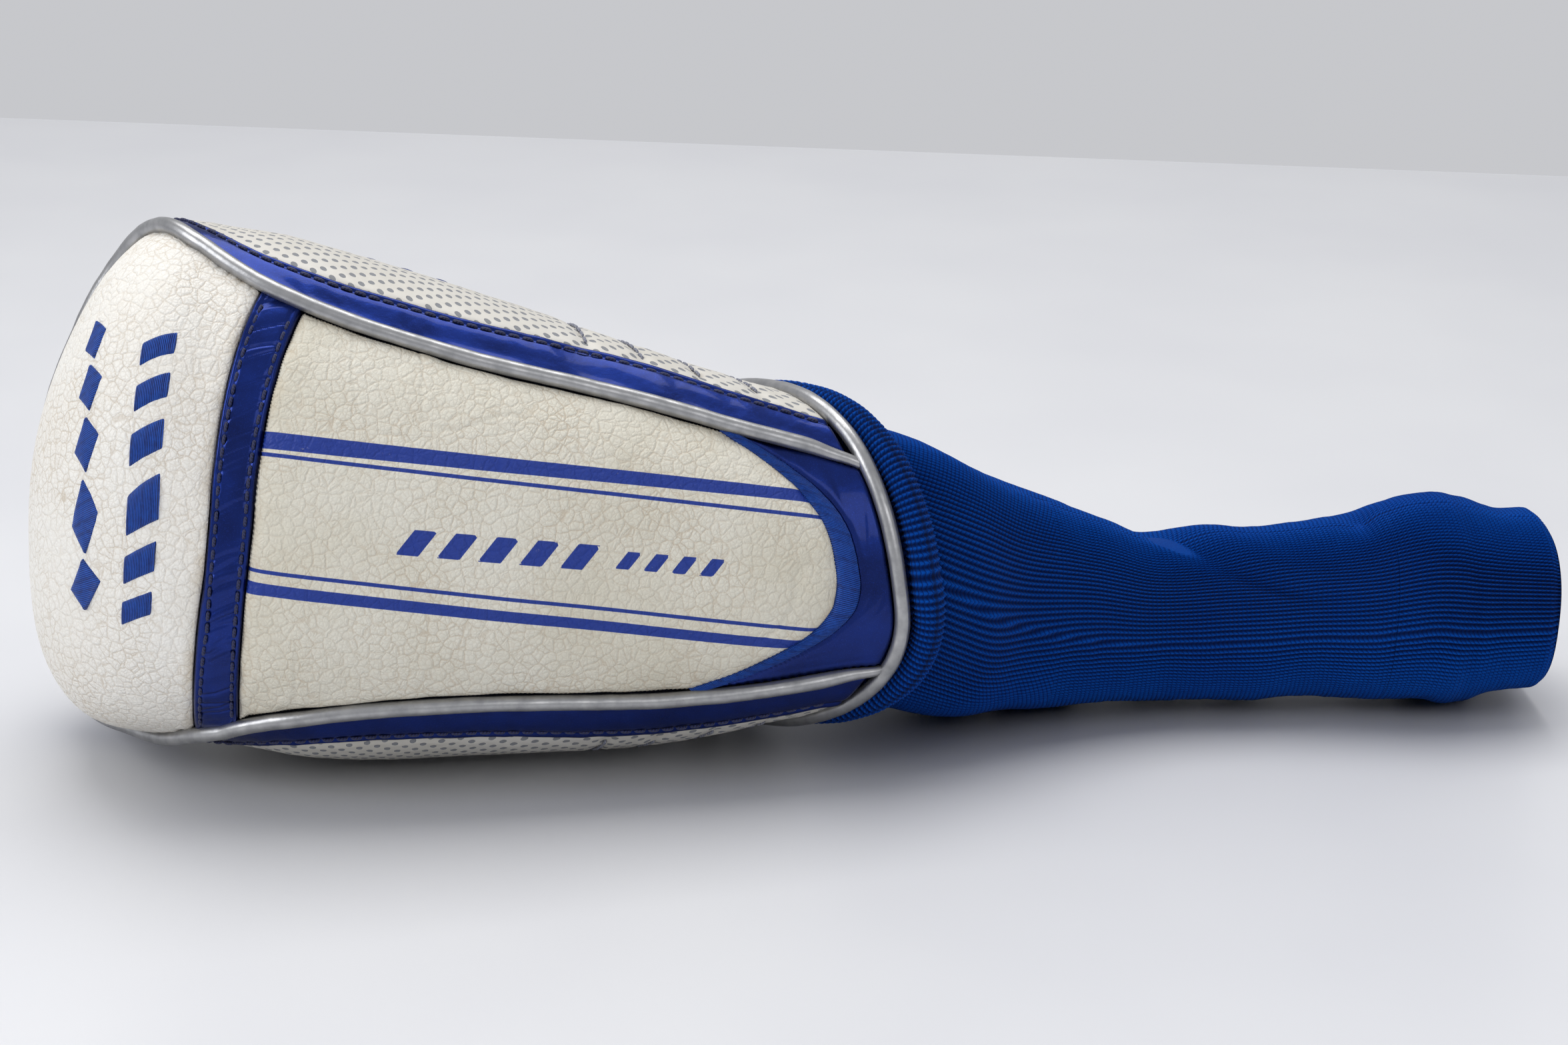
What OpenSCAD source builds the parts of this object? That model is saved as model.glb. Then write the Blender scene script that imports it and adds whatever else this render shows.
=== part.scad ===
/* [Shell] */
// Length of the shell from its toe to the middle of its mouth
shell_length = 172; // [168:1:176]
// Length of the domed toe, along the axis
dome_length = 44; // [40:1:48]
// Bluntness of the dome, 2 for an ellipse and more for a squarer end
dome_power = 2.3; // [2:0.1:2.8]
// Squareness of the cross-sections, 2 for an ellipse
section_power = 2.4; // [2:0.1:2.8]
// How far the shell leans back about its long axis, in degrees
shell_roll = 17; // [12:1:22]
// Thickness of the leather panels
leather = 1.4; // [1:0.1:1.6]
// Thickness of the foam padding
foam = 1.8; // [1.8:0.1:3]
// Thickness of the fleece lining
fleece = 0.9; // [0.8:0.1:1.4]
// How far the padded crown stands proud in the middle of its panel
crown_puff = 2.4; // [0:0.1:4]

/* [Bands and piping] */
// Width of the strip between the toe panel and the main panel
cross_band_width = 8.5; // [6:0.1:10]
// Width of the embroidered border round the end of the main panel
border_width = 3; // [2.4:0.1:5]
// Radius of the piping
piping_radius = 1.65; // [1.2:0.05:1.7]
// Radius of the filler cord inside the piping
filler_radius = 1; // [0.6:0.05:1.1]
// Radius of the sewing thread
thread_radius = 0.35; // [0.25:0.05:0.45]
// Number of elasticated gathers across the sole near the mouth
gather_count = 4; // [2:1:5]
// Distance between two gathers
gather_pitch = 12; // [9:0.5:13]

/* [Sock] */
// Thickness of the knitted fabric
knit = 2.4; // [1.6:0.1:2.8]
// Station where the bending neck ends and the long part of the sock begins
neck_end = 232; // [225:1:240]
// Station where the ribbed cuff begins
cuff_start = 312; // [306:1:314]
// Station of the cuff's open end
cuff_end = 350; // [349:1:352]
// Radius of the roll of knit round the mouth
collar_radius = 3.5; // [3:0.1:3.8]
// Inner radius of the elastic ring in the cuff
elastic_bore = 14.5; // [13:0.1:14.5]
// Thickness of the elastic ring
elastic_wall = 1.6; // [1:0.1:1.6]
// Length of the elastic ring
elastic_length = 8; // [6:0.5:8]

/* [Hidden] */

gap = 0.35;             // clearance between two layers that lie on each other
thread_rise = 0.7;      // the gathers' threads bridge the hollows of the leather under them
rest_height = 2 * thread_radius + thread_rise; // the leather's height over the table, which its threads touch
middle_x = 174.3;       // the origin is the middle of the whole cover's footprint, this far from the toe
middle_y = 0.96;
white_leather = "#dedbd0";
patent_blue = "#1d2f8f";
piping_silver = "#b9bcc2";
knit_blue = "#16409a";
embroidery_blue = "#1c3f8c";
thread_navy = "#141a44";
foam_grey = "#9a9a9a";
fleece_navy = "#202a55";
elastic_white = "#e8e8e8";

layer_gap = 1.4;          // room between padded layers, whose facets don't line up
foam_top = leather + layer_gap;
foam_bottom = foam_top + foam;
fleece_top = foam_bottom + layer_gap;
fleece_bottom = fleece_top + fleece;

// Arc from the middle of the toe to the end of the dome; stations beyond it run on along the axis
dome_arc = 68;
to_arc = dome_arc - dome_length;
mouth = shell_length + to_arc;
corner = 53;            // arc place of the corner of the crown, where its side turns into its toe edge

// The cross-sections: [station along the axis, value], in millimetres
half_width = [[0, 58.2], [44, 58.2], [62, 58.2], [97, 53], [132, 47.2], [150, 43.2], [165, 39.4],
              [172, 37.3], [175.5, 32.1], [186, 32.3], [203, 32], [221, 27.2], [239, 23.4], [255, 20.4],
              [275, 20.6], [294, 21], [308, 22.3], [321, 24], [330, 24.4], [338, 22], [342, 21.2],
              [352, 20.2]];
front_depth = [[0, 41.4], [44, 41.4], [62, 42.3], [97, 40.3], [132, 36.1], [150, 34.8], [165, 33.3],
               [172, 32.6], [175.5, 29], [186, 28.9], [203, 27.9], [221, 23], [239, 19.2], [255, 16.9],
               [275, 16.4], [294, 17.2], [308, 19.4], [321, 21], [330, 21.1], [338, 19.8], [342, 19.4],
               [352, 19.2]];
back_depth = [[0, 46], [44, 46], [62, 45.5], [97, 42], [132, 38], [150, 36.5], [165, 35.4], [172, 35],
              [175.5, 30.5], [186, 30], [203, 28], [221, 23], [239, 19.2], [255, 16.9], [275, 16.4],
              [294, 17.2], [308, 19.4], [321, 21], [330, 21], [338, 19.8], [342, 19.4], [352, 19.2]];
centre_height = [[0, 43.4], [10, 50], [23, 57.5], [35, 60.6], [45, 58.9], [62, 55.4], [97, 50], [132, 44.7],
                 [150, 42.4], [165, 41.2], [172, 40.8], [180, 40.3], [190, 37.2], [203, 32.8], [221, 27.4],
                 [239, 23.6], [255, 20.7], [275, 21], [294, 21.9], [308, 22.9], [321, 24.4], [332, 23.4],
                 [338, 23.4], [352, 23.4]];
centre_depth = [[0, 0], [120, 0], [150, 0.6], [180, 3], [220, 8], [300, 9.5], [336, 11], [352, 11]];
roll_at = [[0, shell_roll], [160, shell_roll], [180, shell_roll * 0.7], [221, 0], [352, 0]];
slant_at = [[0, 0], [60, 0.02], [100, 0.05], [150, 0.455], [172, 0.638], [186, 0.622], [221, 0.26],
            [255, 0], [352, 0]];
// How far the mouth's underside is drawn back towards the toe
drag_at = [[0, 0], [110, 0], [150, 10], [172, 17], [186, 12], [221, 0], [352, 0]];

// The edge of the crown and the outer edge of the gusset band, as [arc place, angle from the crown's middle]
crown_side = [[corner, 86.5], [69, 59], [86, 46.6], [121, 40.7], [156, 39.2], [182, 35.5], [mouth, 32.9]];
crown_toe = [[-0.3, [69, 59]], [0, [corner, 86.5]], [0.4, [33.3, 96.5]], [0.8, [13.1, 110.3]],
             [1, [6.9, 180]], [1.2, [13.1, 249.7]]];
gusset_side = [[corner, 99.7], [69, 73], [86, 60.6], [121, 57], [156, 58.8], [182, 55.2], [mouth, 52.5]];
gusset_toe = [[-0.3, [69, 73]], [0, [corner, 99.7]], [0.4, [35.7, 112]], [0.8, [21, 137]], [1, [17.8, 180]],
              [1.2, [21, 223]]];
seam = 0.19;            // room on each side of the piping, as a share of the gusset band's width

// ---- curves and surfaces ----

function clamped(x, low, high) = max(low, min(high, x));
function mix(a, b, t) = a * (1 - t) + b * t;
function unit(v) = v / norm(v);
function signed_power(x, e) = sign(x) * pow(abs(x), e);

// Index of the stretch of keys that holds x
function stretch(keys, x, i = 0) = i >= len(keys) - 2 || x < keys[i + 1][0] ? i : stretch(keys, x, i + 1);

// Slope of the smooth curve at key i
function key_slope(keys, i) =
    let (a = max(0, i - 1), b = min(len(keys) - 1, i + 1))
    (keys[b][1] - keys[a][1]) / (keys[b][0] - keys[a][0]);

// Smooth curve through [place, value] keys
function curve(keys, x) =
    let (i = stretch(keys, x), h = keys[i + 1][0] - keys[i][0], t = clamped((x - keys[i][0]) / h, 0, 1))
    keys[i][1] * (2 * t * t * t - 3 * t * t + 1) + key_slope(keys, i) * h * (t * t * t - 2 * t * t + t)
    + keys[i + 1][1] * (3 * t * t - 2 * t * t * t) + key_slope(keys, i + 1) * h * (t * t * t - t * t);

// Point of the cover at arc place a and angle v round the section (0 crown, 90 top, 180 sole), at depth d
// under its outer surface. The cover sags flat where it rests, on its gathers' threads or on its knit.
function place(a, v, d = 0) =
    let (phi = 90 * min(1, a / dome_arc),
         along = pow(cos(phi), 2 / dome_power),
         round_off = pow(sin(phi), 2 / dome_power),
         s = a < dome_arc ? dome_length * (1 - along) : a - to_arc,
         x = a < dome_arc ? dome_length - (dome_length - d) * along : s,
         across = (curve(half_width, s) - d) * round_off * signed_power(sin(v), 2 / section_power),
         deep = (curve(cos(v) > 0 ? front_depth : back_depth, s) - d) * round_off
                * signed_power(cos(v), 2 / section_power),
         roll = curve(roll_at, s),
         y = across * sin(roll) - deep * cos(roll),
         z = across * cos(roll) + deep * sin(roll),
         low = max(0, -z) / 37)
    [x - curve(slant_at, s) * y - curve(drag_at, s) * low * low - middle_x,
     curve(centre_depth, s) + y - middle_y,
     max(curve(centre_height, s) + z, d + (s < shell_length + 4 ? rest_height : 0))];

function outward(a, v) = unit(place(a, v, -1) - place(a, v, 1));

// The U-shaped edge from the mouth's upper side (b = 0), round the toe (b = 2), to its lower side (b = 4)
function half_edge(side, toe, b) =
    b < 1 ? let (a = mix(mouth, corner, b)) [a, curve(side, a)] : curve(toe, b - 1);
function edge(side, toe, b) = b <= 2 ? half_edge(side, toe, b)
    : let (p = half_edge(side, toe, 4 - b)) [p[0], 360 - p[1]];

// Place in the gusset band: f is 0 on the crown's edge and 1 on the band's outer edge
function rim(b, f) = mix(edge(crown_side, crown_toe, b), edge(gusset_side, gusset_toe, b), f);

// Angle of the crown's edge at arc place a, with f as in rim
function side_angle(a, f) = mix(curve(crown_side, a), curve(gusset_side, a), f);

// ---- closed solids ----

function volume6(points, faces) =
    [for (f = faces) points[f[0]] * cross(points[f[1]], points[f[2]])] * [for (f = faces) 1];

// Triangles of a grid of points whose rows may close round
function quads(rows, columns, wrap, first = 0) = [
    for (i = [0 : rows - 2], j = [0 : columns - (wrap ? 1 : 2)])
        let (a = first + i * columns + j, b = first + i * columns + (j + 1) % columns,
             c = b + columns, d = a + columns)
        each [[a, b, c], [a, c, d]]];

function wall(a, b, turned) = turned ? [[a[0], b[0], b[1]], [a[0], b[1], a[1]]]
    : [[a[0], b[1], b[0]], [a[0], a[1], b[1]]];

module solid(points, faces) {
    facing_out = volume6(points, faces) < 0;
    polyhedron(points, facing_out ? faces : [for (f = faces) [f[2], f[1], f[0]]]);
}

// A wall between two grids of points, whose rows may close round
module sheet_solid(outer, inner, wrap = false) {
    rows = len(outer);
    columns = len(outer[0]);
    n = rows * columns;
    points = [for (g = [outer, inner]) each [for (r = g) each r]];
    top = quads(rows, columns, wrap);
    bottom = [for (f = quads(rows, columns, wrap, n)) [f[2], f[1], f[0]]];
    ends = [for (i = [0, rows - 1], j = [0 : columns - (wrap ? 1 : 2)])
        let (a = i * columns + j, b = i * columns + (j + 1) % columns)
        each wall([a, b], [a + n, b + n], i == 0)];
    sides = wrap ? [] : [for (j = [0, columns - 1], i = [0 : rows - 2])
        let (a = i * columns + j, b = a + columns)
        each wall([a, b], [a + n, b + n], j > 0)];
    solid(points, concat(top, bottom, ends, sides));
}

// A domed wall whose rows close round, with one middle point on each face
module cap_solid(outer, inner, outer_middle, inner_middle) {
    rows = len(outer);
    columns = len(outer[0]);
    n = rows * columns;
    points = concat([for (g = [outer, inner]) each [for (r = g) each r]], [outer_middle, inner_middle]);
    top = quads(rows, columns, true);
    bottom = [for (f = quads(rows, columns, true, n)) [f[2], f[1], f[0]]];
    middle = [for (j = [0 : columns - 1]) let (k = (j + 1) % columns)
        each [[j, 2 * n, k], [k + n, 2 * n + 1, j + n]]];
    rim_faces = [for (j = [0 : columns - 1])
        let (a = (rows - 1) * columns + j, b = (rows - 1) * columns + (j + 1) % columns)
        each wall([a, b], [a + n, b + n], false)];
    solid(points, concat(top, bottom, middle, rim_faces));
}

// Rings of points round a path of [arc place, angle, depth] on the cover
function rings(path, radius, sides) =
    let (n = len(path), p = [for (q = path) place(q[0], q[1], q[2])])
    [for (i = [0 : n - 1])
        let (t = unit(p[min(n - 1, i + 1)] - p[max(0, i - 1)]), o = outward(path[i][0], path[i][1]),
             normal = unit(o - t * (o * t)), side = cross(t, normal))
        [for (k = [0 : sides - 1])
            let (turn = 360 * k / sides)
            p[i] + radius * (cos(turn) * normal + sin(turn) * side)]];

// A solid cord along a path on the cover
module cord_solid(path, radius, sides) {
    r = rings(path, radius, sides);
    n = len(r) * sides;
    caps = [for (k = [1 : sides - 2])
        each [[0, k + 1, k], [n - sides, n - sides + k, n - sides + k + 1]]];
    solid([for (q = r) each q], concat(quads(len(r), sides, true), caps));
}

// A hollow sleeve along a path on the cover
module sleeve_solid(path, radius, bore, sides)
    sheet_solid(rings(path, radius, sides), rings(path, bore, sides), true);

// A patch between depths: at(f, w) gives [arc place, angle, extra depth] for f and w from 0 to 1
module patch(at_points, top, bottom)
    sheet_solid([for (r = at_points) [for (q = r) place(q[0], q[1], top + q[2])]],
                [for (r = at_points) [for (q = r) place(q[0], q[1], bottom + q[2])]]);

// ---- layout of the crown ----

// Middle line of the cross band: it leans, and lies nearer the toe on the lower side
function band_line(w) = 75.8 + 8.4 * w - 1.4 * (1 - w * w);
// End of the main panel, a U whose arms run back along the sides, further on the lower side
panel_end = function (w) 185.4 - (w < 0 ? 25 : 15.5) * pow(abs(w), 2.5);
half_band = cross_band_width / 2;

// Points of the crown between two lines across it: w runs from the lower edge (-1) to the upper (1)
function crown_grid(from, to, steps, across, puff = 0) = [
    for (i = [0 : steps]) [
        for (j = [0 : across])
            let (f = i / steps, w = 2 * j / across - 1, a = mix(from(w), to(w), f),
                 proud = puff * pow(sin(180 * clamped(f, 0, 1)), 0.5) * pow(1 - w * w, 0.5))
            [a, w * side_angle(a, -seam), -proud]]];

// Places round the toe panel's edge: along the cross band, then round the toe beside the piping
band_edge = function (w) band_line(w) - half_band - gap;
toe_first = (mouth - band_edge(1)) / (mouth - corner);
toe_last = 4 - (mouth - band_edge(-1)) / (mouth - corner);
function toe_outline(along_band, round_toe) = concat(
    [for (j = [0 : along_band]) let (w = 2 * j / along_band - 1, a = band_edge(w))
        [a, w * side_angle(a, -seam)]],
    [for (j = [1 : round_toe - 1]) rim(mix(toe_first, toe_last, j / round_toe), -seam - 0.05)]);

module toe_layer(top, bottom, along_band, round_toe, ring_count) {
    outline = toe_outline(along_band, round_toe);
    shares = [for (i = [1 : ring_count]) pow(i / ring_count, 0.85)];
    cap_solid([for (f = shares) [for (q = outline) place(q[0] * f, q[1], top)]],
              [for (f = shares) [for (q = outline) place(q[0] * f, q[1], bottom)]],
              place(0, 0, top), place(0, 0, bottom));
}

// Points of the sole between the gusset band's outer edges, from its tip behind the toe to arc place last
sole_tip = 1.96;
function sole_grid(last, edge_share, steps, across) = [
    for (i = [0 : steps])
        let (p = rim(mix(sole_tip, (mouth - last) / (mouth - corner), pow(i / steps, 0.85)), edge_share))
        [for (j = [0 : across]) [p[0], mix(p[1], 360 - p[1], j / across), 0]]];

function span(a0, a1, v0, v1, steps, across) = [
    for (i = [0 : steps]) [for (j = [0 : across]) [mix(a0, a1, i / steps), mix(v0, v1, j / across), 0]]];

function tube_rows(s0, s1, steps, around, d) = [
    for (i = [0 : steps]) let (a = mix(s0, s1, i / steps) + to_arc)
        [for (j = [0 : around - 1]) place(a, 360 * j / around, d)]];

// ---- the pieces ----

module crown_toe_panel() color(white_leather) toe_layer(0, leather, 16, 30, 8);

module crown_main_panel() color(white_leather)
    patch(crown_grid(function (w) band_line(w) + half_band + gap, panel_end, 14, 12, crown_puff), 0, leather);

module cross_band() color(patent_blue)
    patch(crown_grid(function (w) band_line(w) - half_band, function (w) band_line(w) + half_band, 2, 16),
          0, leather);

module cross_band_threads() color(thread_navy)
    for (side = [-1, 1])
        cord_solid([for (j = [0 : 24])
            let (w = 1.92 * j / 24 - 0.96, a = band_line(w) + side * (half_band - 1.3))
            [a, w * side_angle(a, -seam), -thread_radius - 0.1]], thread_radius, 5);

module embroidered_border() color(embroidery_blue)
    patch(crown_grid(function (w) panel_end(w) + gap, function (w) panel_end(w) + gap + border_width, 2, 20),
          -0.7, 1.1);

module throat_panel() color(patent_blue)
    patch(crown_grid(function (w) panel_end(w) + 2 * gap + border_width, function (w) mouth - 2.1, 2, 20),
          0, leather);

// A column of slanted bars on the toe
module toe_embroidery() color(embroidery_blue)
    for (i = [0 : 5])
        let (a = 52.2 + 1.1 * i, v = -25.5 + 9.7 * i)
        patch([for (f = [0, 0.5, 1]) [for (w = [0, 0.5, 1]) [a + 6.8 * f + 0.6 * w, v + 6 * w + 2.2 * f, 0]]],
              -0.7, -0.12);

module sole_embroidery() color(embroidery_blue)
    for (i = [0 : 2])
        patch(span(98 + 8 * i, 103 + 8 * i, 96, 106, 2, 3), -0.7, -0.12);

crown_path = [for (i = [0 : 66]) let (p = rim(0.06 + 3.88 * i / 66, 0)) [p[0], p[1], -0.3]];
// The mouth piping and the rolled collar are joined end to end at the middle of the sole
mouth_path = [for (i = [0 : 40]) [mouth, 180.3 + 8.985 * i, -0.3]];

module crown_piping() color(piping_silver) sleeve_solid(crown_path, piping_radius, filler_radius + 0.15, 7);
module crown_piping_cord() color(elastic_white) cord_solid(crown_path, filler_radius, 5);
module mouth_piping() color(piping_silver)
    sleeve_solid(mouth_path, piping_radius, filler_radius + 0.15, 7);
module mouth_piping_cord() color(elastic_white) cord_solid(mouth_path, filler_radius, 5);

// One half of the gusset band, which is joined behind the toe
module gusset_half(b0, b1) color(patent_blue)
    patch([for (i = [0 : 30]) [for (f = [seam, 0.46, 0.73, 1])
        let (p = rim(mix(b0, b1, i / 30), f)) [p[0], p[1], 0]]], 0, leather);
module upper_gusset_band() gusset_half(0.02, 1.985);
module lower_gusset_band() gusset_half(2.015, 3.98);

module gusset_threads() color(thread_navy)
    for (half = [[0.03, 1.97], [2.03, 3.97]])
        cord_solid([for (i = [0 : 30]) let (p = rim(mix(half[0], half[1], i / 30), 0.82))
            [p[0], p[1], -thread_radius - 0.1]], thread_radius, 5);

module sole_panel() color(white_leather) patch(sole_grid(mouth - 3.2, 1.04, 22, 20), 0, leather);

// Places of the gathers across the sole, counted from the mouth
gathers = [for (i = [0 : gather_count - 1]) mouth - 12 - gather_pitch * i];

module gather_elastics() color(elastic_white)
    for (a = gathers)
        patch(span(a - 2.5, a + 2.5, 70, 290, 1, 18), leather + gap, leather + gap + 1);

module gather_threads() color(thread_navy)
    for (a = gathers)
        cord_solid([for (i = [0 : 26]) [a, mix(64, 296, i / 26), -thread_radius - thread_rise]],
                   thread_radius, 5);

module toe_foam() color(foam_grey) toe_layer(foam_top, foam_bottom, 10, 20, 5);
module crown_foam() color(foam_grey)
    patch(crown_grid(function (w) band_line(w) + half_band + gap, panel_end, 12, 10), foam_top, foam_bottom);
module sole_foam() color(foam_grey)
    patch(sole_grid(gathers[gather_count - 1] - 4, 1.2, 17, 20), foam_top, foam_bottom);

module fleece_lining() color(fleece_navy) {
    shares = [for (i = [1 : 15]) pow(i / 15, 0.9) * (mouth - 2.5)];
    cap_solid([for (a = shares) [for (j = [0 : 31]) place(a, 11.25 * j, fleece_top)]],
              [for (a = shares) [for (j = [0 : 31]) place(a, 11.25 * j, fleece_bottom)]],
              place(0, 0, fleece_top), place(0, 0, fleece_bottom));
}

// The knit is rolled over an elastic cord round the mouth
collar_path = [for (q = mouth_path) [shell_length + 6.2 + to_arc, q[1], -collar_radius - 0.6]];
module knit_collar() color(knit_blue) sleeve_solid(collar_path, collar_radius, 1.6, 9);
module collar_elastic() color(elastic_white) cord_solid(collar_path, 1.3, 5);

module knit_tube(s0, s1, steps, around) color(knit_blue)
    sheet_solid(tube_rows(s0, s1, steps, around, 0), tube_rows(s0, s1, steps, around, knit), true);
module sock_neck() knit_tube(shell_length + 4, neck_end - gap, 7, 32);
module sock_body() knit_tube(neck_end, cuff_start - gap, 9, 32);
module sock_cuff() knit_tube(cuff_start, cuff_end, 9, 36);

elastic_centre = cuff_end - 1.5 - elastic_length;
module cuff_elastic() color(elastic_white)
    translate([elastic_centre - middle_x, curve(centre_depth, elastic_centre) - middle_y,
               curve(centre_height, elastic_centre)])
        rotate([0, 90, 0])
            difference() {
                cylinder(r = elastic_bore + elastic_wall, h = elastic_length, $fn = 64);
                translate([0, 0, -1]) cylinder(r = elastic_bore, h = elastic_length + 2, $fn = 64);
            }

crown_toe_panel();
crown_main_panel();
cross_band();
cross_band_threads();
embroidered_border();
throat_panel();
toe_embroidery();
sole_embroidery();
crown_piping();
crown_piping_cord();
mouth_piping();
mouth_piping_cord();
upper_gusset_band();
lower_gusset_band();
gusset_threads();
sole_panel();
gather_elastics();
gather_threads();
toe_foam();
crown_foam();
sole_foam();
fleece_lining();
knit_collar();
collar_elastic();
sock_neck();
sock_body();
sock_cuff();
cuff_elastic();
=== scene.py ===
"""A driver head cover lying on its side: leather shell, patent bands, piping and a knitted sock.

Lengths are in millimetres until a mesh is made, and every mesh is in metres in the frame's own axes.
A place on the cover is (a, v): a runs along it from the middle of the toe, v round it in degrees from the
middle of the crown (0) over the top (90) to the sole (180).
"""
import math

import bpy
import numpy as np
from mathutils import Matrix, Vector


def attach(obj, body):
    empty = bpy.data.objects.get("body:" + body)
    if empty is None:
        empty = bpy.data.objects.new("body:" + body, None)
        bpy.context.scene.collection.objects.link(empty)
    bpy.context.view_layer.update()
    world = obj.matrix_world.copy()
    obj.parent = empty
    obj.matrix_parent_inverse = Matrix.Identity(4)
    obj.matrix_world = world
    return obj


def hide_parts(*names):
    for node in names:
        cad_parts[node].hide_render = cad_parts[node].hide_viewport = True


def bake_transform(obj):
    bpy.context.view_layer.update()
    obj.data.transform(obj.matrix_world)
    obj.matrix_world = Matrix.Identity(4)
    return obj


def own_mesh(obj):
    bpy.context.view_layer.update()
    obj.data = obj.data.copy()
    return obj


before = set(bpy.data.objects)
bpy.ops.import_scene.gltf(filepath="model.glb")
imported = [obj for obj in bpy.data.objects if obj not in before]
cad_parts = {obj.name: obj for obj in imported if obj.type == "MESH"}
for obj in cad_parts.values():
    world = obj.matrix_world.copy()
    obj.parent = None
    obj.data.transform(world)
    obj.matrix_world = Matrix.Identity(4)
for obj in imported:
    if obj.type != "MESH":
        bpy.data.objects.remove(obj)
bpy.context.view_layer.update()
MM = 0.001

# ---------------------------------------------------------------- the cover's shape, as in the CAD model

SHELL_LENGTH = 172.0
DOME_LENGTH = 44.0
DOME_ARC = 68.0
DOME_POWER = 2.3
SECTION_POWER = 2.4
SHELL_ROLL = 17.0
LEATHER = 1.4
THREAD = 0.35
PIPING = 1.65
KNIT = 2.4
COLLAR = 3.5
GAP = 0.35
BAND_WIDTH = 8.5
BORDER_WIDTH = 3.0
CROWN_PUFF = 2.4
TO_ARC = DOME_ARC - DOME_LENGTH
MOUTH = SHELL_LENGTH + TO_ARC
CORNER = 53.0
SEAM = 0.19
REST = 2 * THREAD + 0.7
MIDDLE_X = 174.3
MIDDLE_Y = 0.96
LOWER_REACH = 37.0  # how far the mouth reaches below its middle
NECK_START = SHELL_LENGTH + 4
NECK_END = 232.0
CUFF_START = 312.0
CUFF_END = 350.0

HALF_WIDTH = [[0, 58.2], [44, 58.2], [62, 58.2], [97, 53], [132, 47.2], [150, 43.2], [165, 39.4],
              [172, 37.3], [175.5, 32.1], [186, 32.3], [203, 32], [221, 27.2], [239, 23.4],
              [255, 20.4], [275, 20.6], [294, 21], [308, 22.3], [321, 24], [330, 24.4], [338, 22],
              [342, 21.2], [352, 20.2]]
FRONT_DEPTH = [[0, 41.4], [44, 41.4], [62, 42.3], [97, 40.3], [132, 36.1], [150, 34.8], [165, 33.3],
               [172, 32.6], [175.5, 29], [186, 28.9], [203, 27.9], [221, 23], [239, 19.2], [255, 16.9],
               [275, 16.4], [294, 17.2], [308, 19.4], [321, 21], [330, 21.1], [338, 19.8], [342, 19.4],
               [352, 19.2]]
BACK_DEPTH = [[0, 46], [44, 46], [62, 45.5], [97, 42], [132, 38], [150, 36.5], [165, 35.4], [172, 35],
              [175.5, 30.5], [186, 30], [203, 28], [221, 23], [239, 19.2], [255, 16.9], [275, 16.4],
              [294, 17.2], [308, 19.4], [321, 21], [330, 21], [338, 19.8], [342, 19.4], [352, 19.2]]
CENTRE_HEIGHT = [[0, 43.4], [10, 50], [23, 57.5], [35, 60.6], [45, 58.9], [62, 55.4], [97, 50],
                 [132, 44.7], [150, 42.4], [165, 41.2], [172, 40.8], [180, 40.3], [190, 37.2],
                 [203, 32.8], [221, 27.4], [239, 23.6], [255, 20.7], [275, 21], [294, 21.9], [308, 22.9],
                 [321, 24.4], [332, 23.4], [338, 23.4], [352, 23.4]]
CENTRE_DEPTH = [[0, 0], [120, 0], [150, 0.6], [180, 3], [220, 8], [300, 9.5], [336, 11], [352, 11]]
ROLL_AT = [[0, SHELL_ROLL], [160, SHELL_ROLL], [180, SHELL_ROLL * 0.7], [221, 0], [352, 0]]
SLANT_AT = [[0, 0], [60, 0.02], [100, 0.05], [150, 0.455], [172, 0.638], [186, 0.622], [221, 0.26],
            [255, 0], [352, 0]]
DRAG_AT = [[0, 0], [110, 0], [150, 10], [172, 17], [186, 12], [221, 0], [352, 0]]
CROWN_SIDE = [[CORNER, 86.5], [69, 59], [86, 46.6], [121, 40.7], [156, 39.2], [182, 35.5], [MOUTH, 32.9]]
CROWN_TOE = [[-0.3, 69, 59], [0, CORNER, 86.5], [0.4, 33.3, 96.5], [0.8, 13.1, 110.3], [1, 6.9, 180],
             [1.2, 13.1, 249.7]]
GUSSET_SIDE = [[CORNER, 99.7], [69, 73], [86, 60.6], [121, 57], [156, 58.8], [182, 55.2], [MOUTH, 52.5]]
GUSSET_TOE = [[-0.3, 69, 73], [0, CORNER, 99.7], [0.4, 35.7, 112], [0.8, 21, 137], [1, 17.8, 180],
              [1.2, 21, 223]]


def mix(a, b, t):
    return a * (1 - t) + b * t


def smooth(x, low, high):
    t = np.clip((np.asarray(x, float) - low) / (high - low), 0, 1)
    return t * t * (3 - 2 * t)


def curve(keys, x):
    """Smooth curve through rows of [place, value, ...]."""
    keys = np.asarray(keys, float)
    x = np.asarray(x, float)
    at, value = keys[:, 0], keys[:, 1:]
    row = np.arange(len(at))
    low, high = np.maximum(row - 1, 0), np.minimum(row + 1, len(at) - 1)
    slope = (value[high] - value[low]) / (at[high] - at[low])[:, None]
    i = np.clip(np.searchsorted(at, x, side="right") - 1, 0, len(at) - 2)
    h = at[i + 1] - at[i]
    t = np.clip((x - at[i]) / h, 0, 1)[..., None]
    h = h[..., None]
    out = (value[i] * (2 * t**3 - 3 * t**2 + 1) + slope[i] * h * (t**3 - 2 * t**2 + t)
           + value[i + 1] * (3 * t**2 - 2 * t**3) + slope[i + 1] * h * (t**3 - t**2))
    return out[..., 0] if out.shape[-1] == 1 else out


def signed_power(x, e):
    return np.sign(x) * np.abs(x) ** e


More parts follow.
